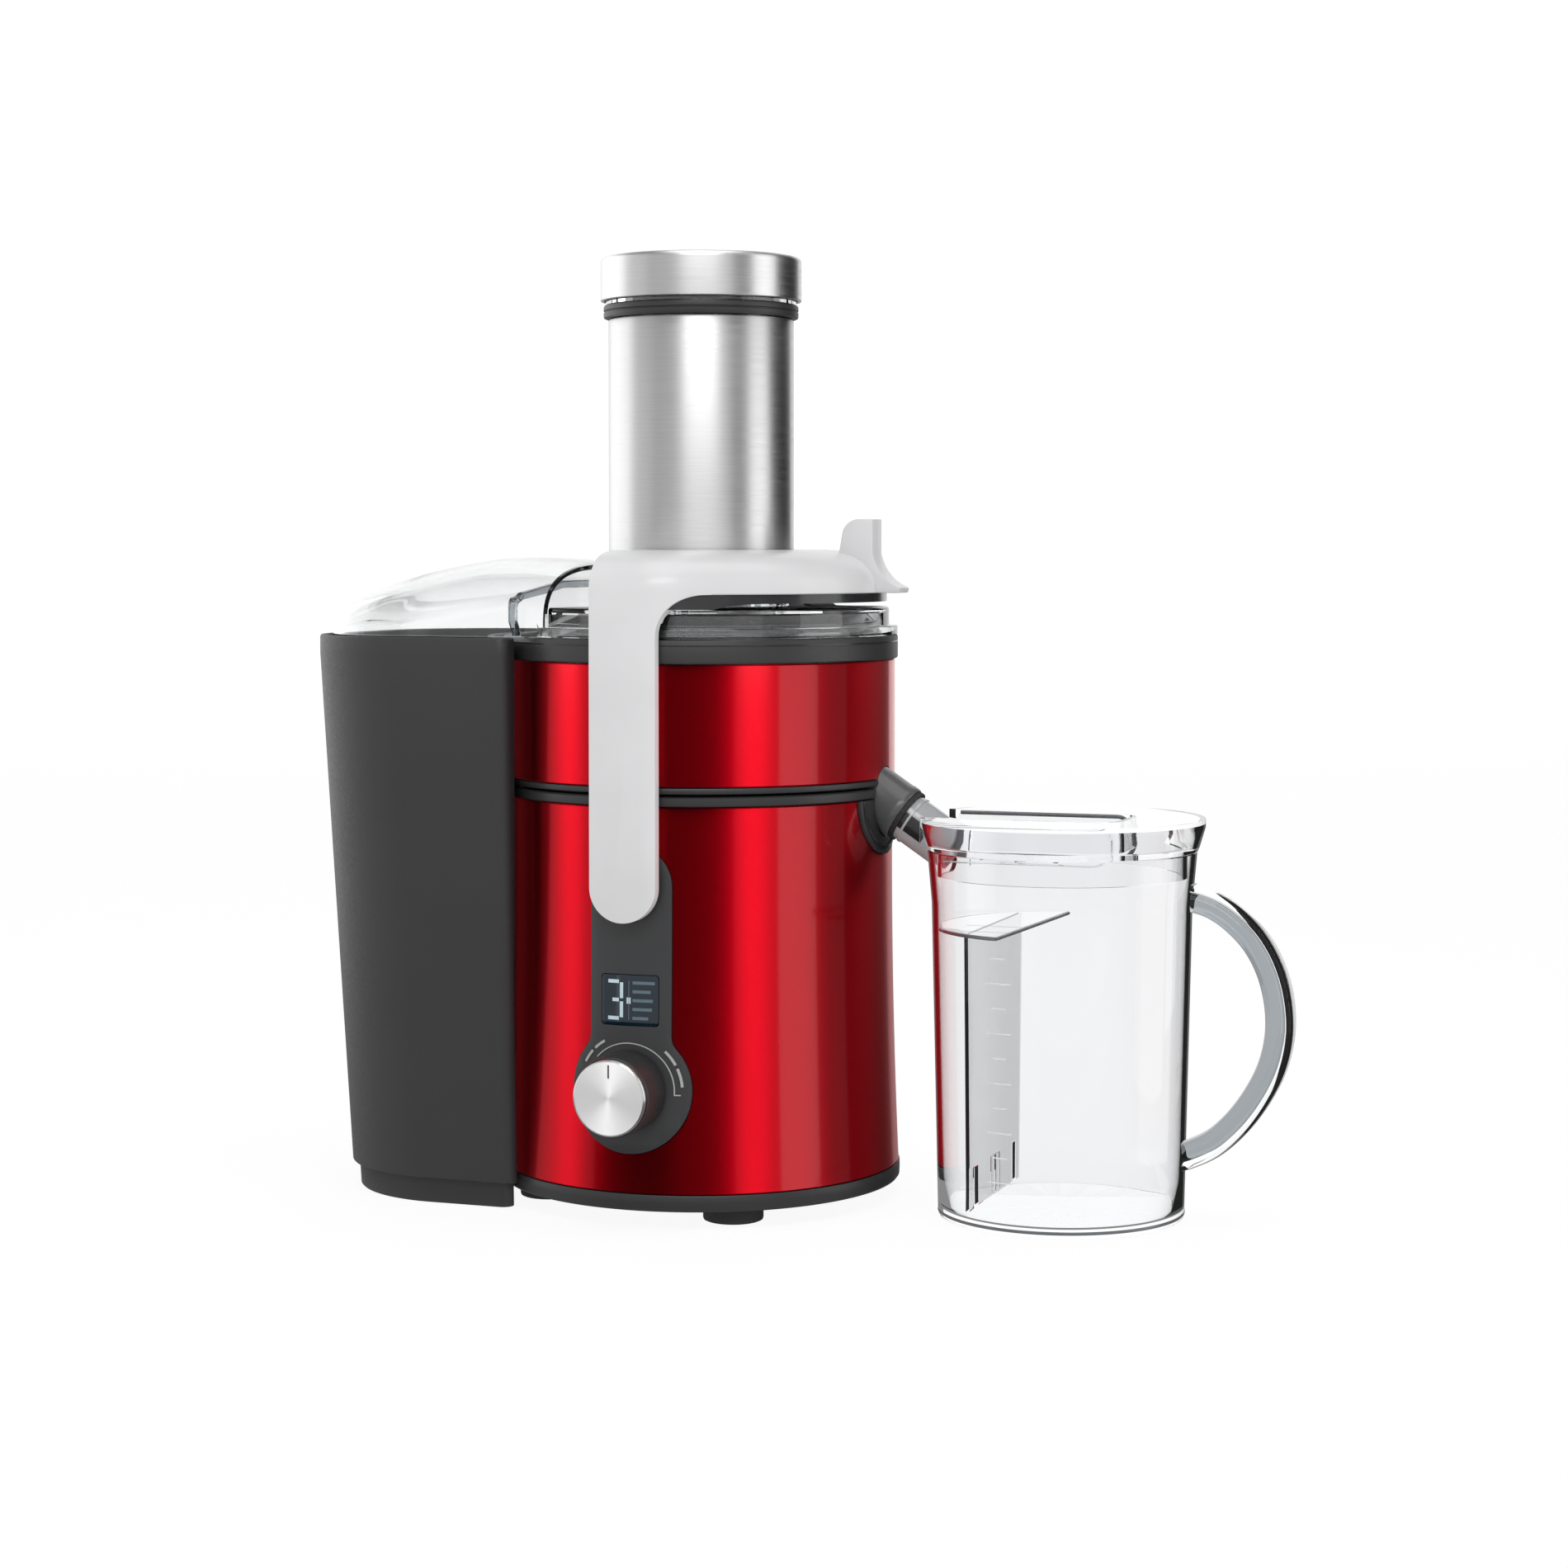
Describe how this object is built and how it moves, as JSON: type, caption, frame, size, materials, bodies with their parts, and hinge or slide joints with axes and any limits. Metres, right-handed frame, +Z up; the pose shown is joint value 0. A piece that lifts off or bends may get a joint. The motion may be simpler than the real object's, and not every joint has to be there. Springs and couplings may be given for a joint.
{
  "type": "centrifugal juicer",
  "caption": "Wide-chute centrifugal juicer with a red metallic body, clear cover, safety arm, pulp bin at one side and a juice jug under the spout at the other.",
  "frame": {"origin": "on the table, under the middle of the whole object's bounding box", "axes": "+Z up; the control panel faces -Y; the juice spout points to +X and the pulp bin stands at -X"},
  "size_m": [0.4382, 0.2084, 0.4166],
  "materials": {
    "red_metal": "red metallic lacquer",
    "dark_plastic": "satin dark grey plastic",
    "panel_plastic": "dark grey inlay",
    "silver_plastic": "satin silver-white plastic",
    "brushed_steel": "brushed round the chute",
    "bright_steel": "plain stainless steel",
    "aluminium": "brushed",
    "clear_plastic": "clear plastic",
    "smoky_plastic": "dark translucent plastic",
    "nozzle_plastic": "silver grey plastic",
    "rubber": "matt rubber",
    "copper": "copper and brass",
    "iron": "iron laminations",
    "board": "circuit board",
    "display": "dark display"
  },
  "bodies": {
    "juicer": {"base_plate": "dark_plastic", "foot_1": "rubber", "foot_2": "rubber", "foot_3": "rubber", "foot_4": "rubber", "base_screw_1": "bright_steel", "base_screw_2": "bright_steel", "base_screw_3": "bright_steel", "base_screw_4": "bright_steel", "lower_red_skin": "red_metal", "base_top_deck": "dark_plastic", "spout_bib": "dark_plastic", "cord_gland": "rubber", "arm_pin_front": "bright_steel", "arm_pin_rear": "bright_steel", "safety_switch": "dark_plastic", "control_panel": "panel_plastic", "display_window": "display", "display_module": "display", "control_board": "board", "selector_switch": "bright_steel", "motor_housing": "dark_plastic", "motor_lower_bracket": "aluminium", "motor_upper_bracket": "aluminium", "lower_bearing": "bright_steel", "upper_bearing": "bright_steel", "shaft_seal": "rubber", "motor_stator": "iron", "field_coil_right": "copper", "field_coil_left": "copper", "brush_holder_front": "copper", "brush_holder_rear": "copper", "filter_bowl": "smoky_plastic", "bowl_lower_trim": "dark_plastic", "upper_red_skin": "red_metal", "bowl_top_band": "dark_plastic", "spout_seal": "rubber", "spout_nozzle": "nozzle_plastic", "juicer_cover": "clear_plastic", "chute_sleeve": "brushed_steel", "chute_top_ring": "dark_plastic"},
    "rotor": {"motor_shaft": "bright_steel", "armature": "iron", "commutator": "copper", "cooling_fan": "dark_plastic", "drive_coupling": "dark_plastic", "basket_hub": "dark_plastic", "cutting_disc": "bright_steel", "strainer_wall": "bright_steel", "basket_rim": "dark_plastic"},
    "pusher": {"pusher_body": "clear_plastic", "pusher_cap": "aluminium"},
    "arm": {"safety_arm": "silver_plastic"},
    "knob": {"knob_body": "dark_plastic", "knob_face": "aluminium"},
    "bin": {"pulp_bin": "dark_plastic"},
    "jug": {"jug_body": "clear_plastic", "jug_handle": "clear_plastic", "froth_separator": "clear_plastic"},
    "lid": {"jug_lid": "clear_plastic"}
  },
  "joints": [
    {"name": "arm_swing", "type": "hinge", "parent": "juicer", "child": "arm", "pos_m": [-0.04758, 0.00575, 0.1446], "axis": [0, 1, 0], "range_deg": [0, 38]},
    {"name": "pusher_lift", "type": "slide", "parent": "juicer", "child": "pusher", "axis": [0, 0, 1], "range_m": [0, 0.14]},
    {"name": "basket_spin", "type": "hinge", "parent": "juicer", "child": "rotor", "pos_m": [-0.04758, 0.00575, 0.19], "axis": [0, 0, 1], "continuous": true},
    {"name": "knob_turn", "type": "hinge", "parent": "juicer", "child": "knob", "pos_m": [-0.04758, -0.08225, 0.0582], "axis": [0, 1, 0], "range_deg": [-120, 120]},
    {"name": "bin_pull", "type": "slide", "parent": "juicer", "child": "bin", "axis": [-1, 0, 0], "range_m": [0, 0.15]},
    {"name": "jug_pull", "type": "slide", "parent": "juicer", "child": "jug", "axis": [1, 0, 0], "range_m": [0, 0.13]},
    {"name": "jug_lid_lift", "type": "slide", "parent": "jug", "child": "lid", "axis": [0, 0, 1], "range_m": [0, 0.05]}
  ]
}
